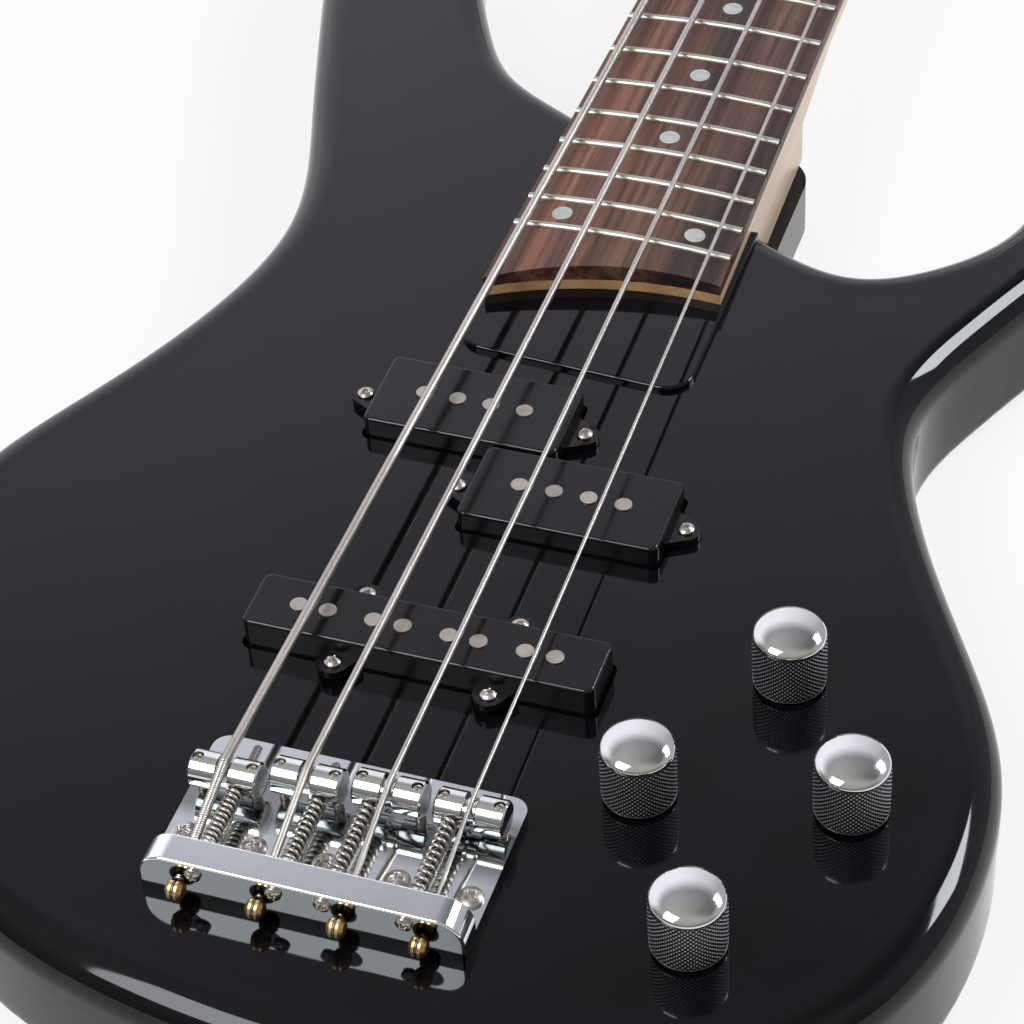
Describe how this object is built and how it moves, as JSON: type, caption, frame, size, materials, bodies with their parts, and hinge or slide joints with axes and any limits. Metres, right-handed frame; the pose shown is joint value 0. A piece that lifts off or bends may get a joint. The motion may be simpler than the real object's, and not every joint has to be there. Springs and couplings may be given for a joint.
{
  "type": "electric bass guitar",
  "caption": "Solid-body electric bass guitar with split and bar pickups, a barrel-saddle bridge, turning knobs and geared tuning machines.",
  "frame": {"origin": "on the flat back of the body, under the middle of the strings, at the nominal end of the scale", "axes": "+X to the side of the thinnest string, +Y along the neck to the head, +Z out of the top"},
  "size_m": [0.3042, 1.1422, 0.0602],
  "materials": {
    "black_lacquer": "gloss lacquer",
    "maple": "satin",
    "rosewood": "oiled",
    "fret_wire": "polished",
    "pearl_dots": "polished",
    "bone": "satin",
    "nickel_steel": "plated",
    "string_steel": "wound",
    "black_plastic": "satin",
    "coil_wire": "varnished",
    "ball_brass": "polished",
    "chrome": "mirror"
  },
  "bodies": {
    "bass": {"ball_ends": "ball_brass", "body": "black_lacquer", "bridge_pickup_cover": "black_plastic", "bridge_plate": "chrome", "bridge_screws": "nickel_steel", "control_cover": "black_plastic", "control_pots": "nickel_steel", "fretboard": "rosewood", "frets": "fret_wire", "intonation_screws": "nickel_steel", "jack_socket": "chrome", "neck": "maple", "neck_bolts": "nickel_steel", "neck_ferrules": "chrome", "nut": "bone", "panel_nuts": "chrome", "pickup_coils": "coil_wire", "pickup_screws": "nickel_steel", "pole_pieces": "nickel_steel", "position_dots": "pearl_dots", "saddle_a_spring": "nickel_steel", "saddle_d_spring": "nickel_steel", "saddle_e_spring": "nickel_steel", "saddle_g_spring": "nickel_steel", "small_screws": "nickel_steel", "split_pickup_covers": "black_plastic", "strap_buttons": "chrome", "strap_screws": "nickel_steel", "string_a": "string_steel", "string_d": "string_steel", "string_e": "string_steel", "string_g": "string_steel", "truss_rod": "nickel_steel", "truss_rod_cover": "black_plastic", "tuner_bushings": "chrome", "tuner_housings": "chrome"},
    "volume_control": {"knob_volume": "chrome", "pot_shaft_volume": "nickel_steel"},
    "treble_control": {"knob_treble": "chrome", "pot_shaft_treble": "nickel_steel"},
    "bass_control": {"knob_bass": "chrome", "pot_shaft_bass": "nickel_steel"},
    "blend_control": {"knob_blend": "chrome", "pot_shaft_blend": "nickel_steel"},
    "key_e": {"tuner_e_key": "chrome"},
    "post_e": {"tuner_e_post": "chrome"},
    "key_a": {"tuner_a_key": "chrome"},
    "post_a": {"tuner_a_post": "chrome"},
    "key_d": {"tuner_d_key": "chrome"},
    "post_d": {"tuner_d_post": "chrome"},
    "key_g": {"tuner_g_key": "chrome"},
    "post_g": {"tuner_g_post": "chrome"},
    "bridge_saddle_e": {"saddle_e": "chrome", "saddle_e_height_screws": "nickel_steel"},
    "bridge_saddle_a": {"saddle_a": "chrome", "saddle_a_height_screws": "nickel_steel"},
    "bridge_saddle_d": {"saddle_d": "chrome", "saddle_d_height_screws": "nickel_steel"},
    "bridge_saddle_g": {"saddle_g": "chrome", "saddle_g_height_screws": "nickel_steel"}
  },
  "joints": [
    {"name": "volume_turn", "type": "hinge", "parent": "bass", "child": "volume_control", "pos_m": [0.0902, 0.06755, 0.05], "axis": [0, 0, 1], "range_deg": [-150, 150]},
    {"name": "treble_turn", "type": "hinge", "parent": "bass", "child": "treble_control", "pos_m": [0.1159, 0.02995, 0.05], "axis": [0, 0, 1], "range_deg": [-150, 150]},
    {"name": "bass_turn", "type": "hinge", "parent": "bass", "child": "bass_control", "pos_m": [0.08975, -0.0209, 0.05], "axis": [0, 0, 1], "range_deg": [-150, 150]},
    {"name": "blend_turn", "type": "hinge", "parent": "bass", "child": "blend_control", "pos_m": [0.0649, 0.0207, 0.05], "axis": [0, 0, 1], "range_deg": [-150, 150]},
    {"name": "key_e_turn", "type": "hinge", "parent": "bass", "child": "key_e", "pos_m": [-0.06, 0.8962, 0.0169], "axis": [-1, 0, 0], "continuous": true},
    {"name": "post_e_turn", "type": "hinge", "parent": "bass", "child": "post_e", "pos_m": [-0.027, 0.9056, 0.04], "axis": [0, 0, 1], "continuous": true},
    {"name": "key_a_turn", "type": "hinge", "parent": "bass", "child": "key_a", "pos_m": [-0.06, 0.9762, 0.0169], "axis": [-1, 0, 0], "continuous": true},
    {"name": "post_a_turn", "type": "hinge", "parent": "bass", "child": "post_a", "pos_m": [-0.024, 0.9856, 0.04], "axis": [0, 0, 1], "continuous": true},
    {"name": "key_d_turn", "type": "hinge", "parent": "bass", "child": "key_d", "pos_m": [0.06, 0.995, 0.0169], "axis": [1, 0, 0], "continuous": true},
    {"name": "post_d_turn", "type": "hinge", "parent": "bass", "child": "post_d", "pos_m": [0.024, 0.9856, 0.04], "axis": [0, 0, 1], "continuous": true},
    {"name": "key_g_turn", "type": "hinge", "parent": "bass", "child": "key_g", "pos_m": [0.06, 0.915, 0.0169], "axis": [1, 0, 0], "continuous": true},
    {"name": "post_g_turn", "type": "hinge", "parent": "bass", "child": "post_g", "pos_m": [0.027, 0.9056, 0.04], "axis": [0, 0, 1], "continuous": true},
    {"name": "saddle_e_slide", "type": "slide", "parent": "bass", "child": "bridge_saddle_e", "axis": [0, 1, 0], "range_m": [-0.004, 0.004], "deforming": ["saddle_e_spring", "string_e"]},
    {"name": "saddle_a_slide", "type": "slide", "parent": "bass", "child": "bridge_saddle_a", "axis": [0, 1, 0], "range_m": [-0.004, 0.004], "deforming": ["saddle_a_spring", "string_a"]},
    {"name": "saddle_d_slide", "type": "slide", "parent": "bass", "child": "bridge_saddle_d", "axis": [0, 1, 0], "range_m": [-0.004, 0.004], "deforming": ["saddle_d_spring", "string_d"]},
    {"name": "saddle_g_slide", "type": "slide", "parent": "bass", "child": "bridge_saddle_g", "axis": [0, 1, 0], "range_m": [-0.004, 0.004], "deforming": ["saddle_g_spring", "string_g"]}
  ],
  "couplings": [
    {"joint": "post_e_turn", "follows": "key_e_turn", "ratio": 0.05},
    {"joint": "post_a_turn", "follows": "key_a_turn", "ratio": 0.05},
    {"joint": "post_d_turn", "follows": "key_d_turn", "ratio": -0.05},
    {"joint": "post_g_turn", "follows": "key_g_turn", "ratio": -0.05}
  ]
}
